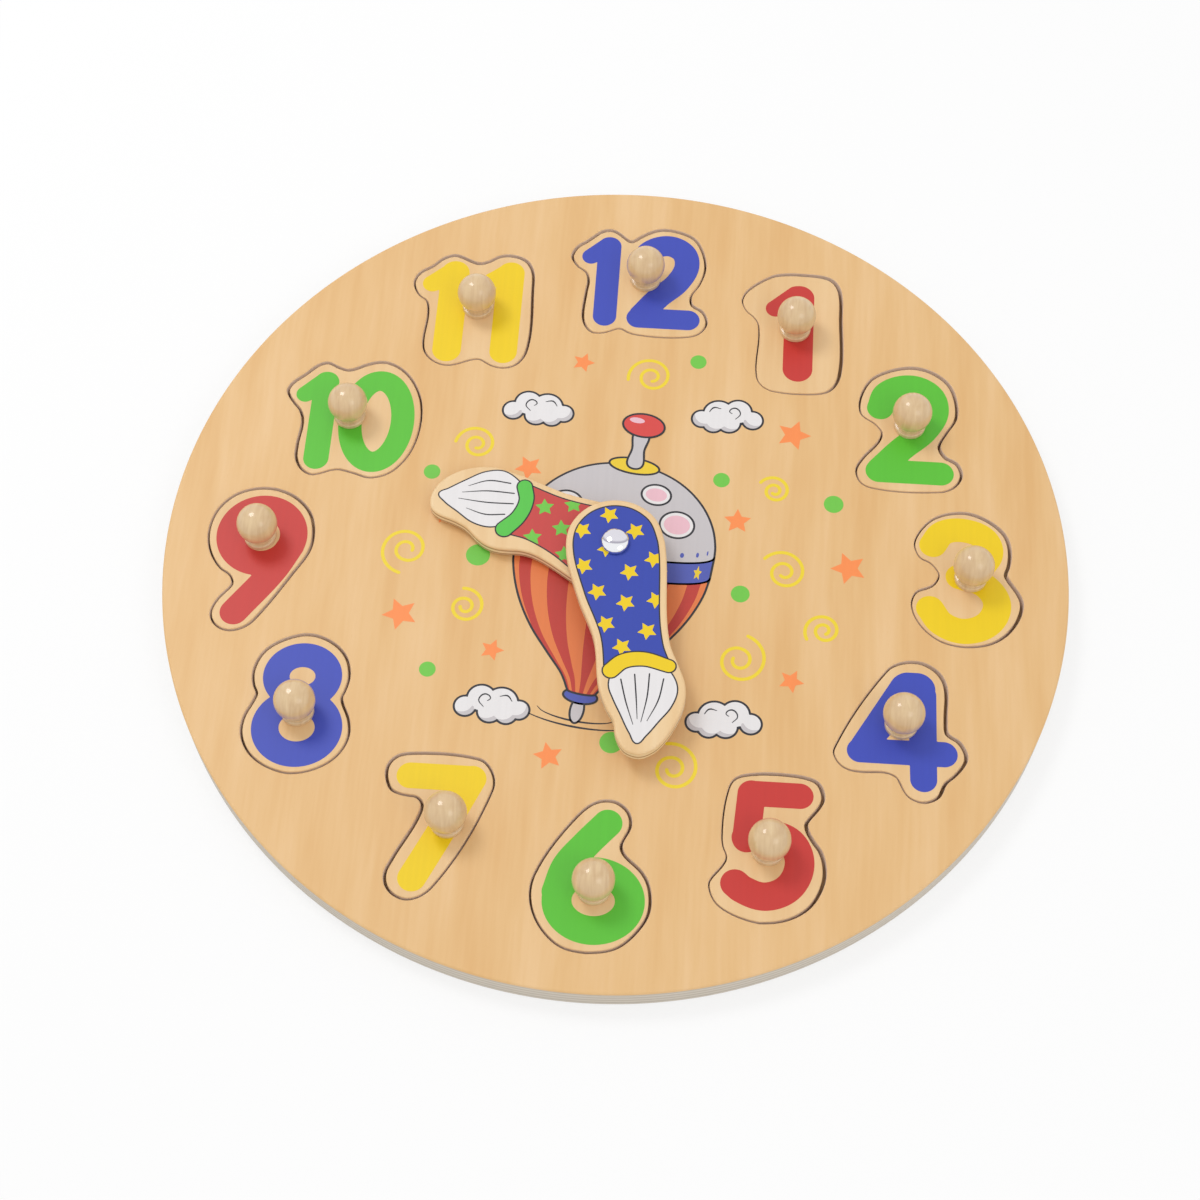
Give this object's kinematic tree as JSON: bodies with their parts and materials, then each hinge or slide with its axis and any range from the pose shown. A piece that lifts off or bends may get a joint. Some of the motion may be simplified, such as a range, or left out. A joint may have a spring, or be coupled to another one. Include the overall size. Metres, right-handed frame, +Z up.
{
  "type": "clock puzzle",
  "caption": "Round wooden clock puzzle with lift-out number tiles on turned knobs and hands that turn on a domed post.",
  "frame": {"origin": "middle of the board's underside, on the surface it lies on", "axes": "+Z up out of the printed face, +Y from the middle towards twelve, +X towards three"},
  "size_m": [0.3, 0.3, 0.0254],
  "materials": {
    "face_board": "clear satin lacquer",
    "backing_board": "bare plywood",
    "red_tile": "red printed numeral, satin lacquer",
    "green_tile": "green printed numeral, satin lacquer",
    "yellow_tile": "yellow printed numeral, satin lacquer",
    "blue_tile": "blue printed numeral, satin lacquer",
    "hour_hand": "red printed sleeve, satin lacquer",
    "minute_hand": "blue printed sleeve, satin lacquer",
    "knob": "glossy clear lacquer",
    "post": "polished",
    "screw": "zinc plated",
    "washer": "matt"
  },
  "bodies": {
    "board": {"face_board": "face_board", "backing_board": "backing_board", "pivot_post": "post", "pivot_screw": "screw", "lower_washer": "washer", "upper_washer": "washer"},
    "hour_hand": {"hour_hand": "hour_hand"},
    "minute_hand": {"minute_hand": "minute_hand"},
    "tile_1": {"number_tile_1": "red_tile", "knob_1": "knob", "knob_screw_1": "screw"},
    "tile_2": {"number_tile_2": "green_tile", "knob_2": "knob", "knob_screw_2": "screw"},
    "tile_3": {"number_tile_3": "yellow_tile", "knob_3": "knob", "knob_screw_3": "screw"},
    "tile_4": {"number_tile_4": "blue_tile", "knob_4": "knob", "knob_screw_4": "screw"},
    "tile_5": {"number_tile_5": "red_tile", "knob_5": "knob", "knob_screw_5": "screw"},
    "tile_6": {"number_tile_6": "green_tile", "knob_6": "knob", "knob_screw_6": "screw"},
    "tile_7": {"number_tile_7": "yellow_tile", "knob_7": "knob", "knob_screw_7": "screw"},
    "tile_8": {"number_tile_8": "blue_tile", "knob_8": "knob", "knob_screw_8": "screw"},
    "tile_9": {"number_tile_9": "red_tile", "knob_9": "knob", "knob_screw_9": "screw"},
    "tile_10": {"number_tile_10": "green_tile", "knob_10": "knob", "knob_screw_10": "screw"},
    "tile_11": {"number_tile_11": "yellow_tile", "knob_11": "knob", "knob_screw_11": "screw"},
    "tile_12": {"number_tile_12": "blue_tile", "knob_12": "knob", "knob_screw_12": "screw"}
  },
  "joints": [
    {"name": "hour_hand_turn", "type": "hinge", "parent": "board", "child": "hour_hand", "pos_m": [0, 0, 0.013], "axis": [0, 0, 1], "continuous": true},
    {"name": "minute_hand_turn", "type": "hinge", "parent": "board", "child": "minute_hand", "pos_m": [0, 0, 0.018], "axis": [0, 0, 1], "continuous": true},
    {"name": "tile_1_lift", "type": "slide", "parent": "board", "child": "tile_1", "axis": [0, 0, 1], "range_m": [0, 0.03]},
    {"name": "tile_2_lift", "type": "slide", "parent": "board", "child": "tile_2", "axis": [0, 0, 1], "range_m": [0, 0.03]},
    {"name": "tile_3_lift", "type": "slide", "parent": "board", "child": "tile_3", "axis": [0, 0, 1], "range_m": [0, 0.03]},
    {"name": "tile_4_lift", "type": "slide", "parent": "board", "child": "tile_4", "axis": [0, 0, 1], "range_m": [0, 0.03]},
    {"name": "tile_5_lift", "type": "slide", "parent": "board", "child": "tile_5", "axis": [0, 0, 1], "range_m": [0, 0.03]},
    {"name": "tile_6_lift", "type": "slide", "parent": "board", "child": "tile_6", "axis": [0, 0, 1], "range_m": [0, 0.03]},
    {"name": "tile_7_lift", "type": "slide", "parent": "board", "child": "tile_7", "axis": [0, 0, 1], "range_m": [0, 0.03]},
    {"name": "tile_8_lift", "type": "slide", "parent": "board", "child": "tile_8", "axis": [0, 0, 1], "range_m": [0, 0.03]},
    {"name": "tile_9_lift", "type": "slide", "parent": "board", "child": "tile_9", "axis": [0, 0, 1], "range_m": [0, 0.03]},
    {"name": "tile_10_lift", "type": "slide", "parent": "board", "child": "tile_10", "axis": [0, 0, 1], "range_m": [0, 0.03]},
    {"name": "tile_11_lift", "type": "slide", "parent": "board", "child": "tile_11", "axis": [0, 0, 1], "range_m": [0, 0.03]},
    {"name": "tile_12_lift", "type": "slide", "parent": "board", "child": "tile_12", "axis": [0, 0, 1], "range_m": [0, 0.03]}
  ]
}
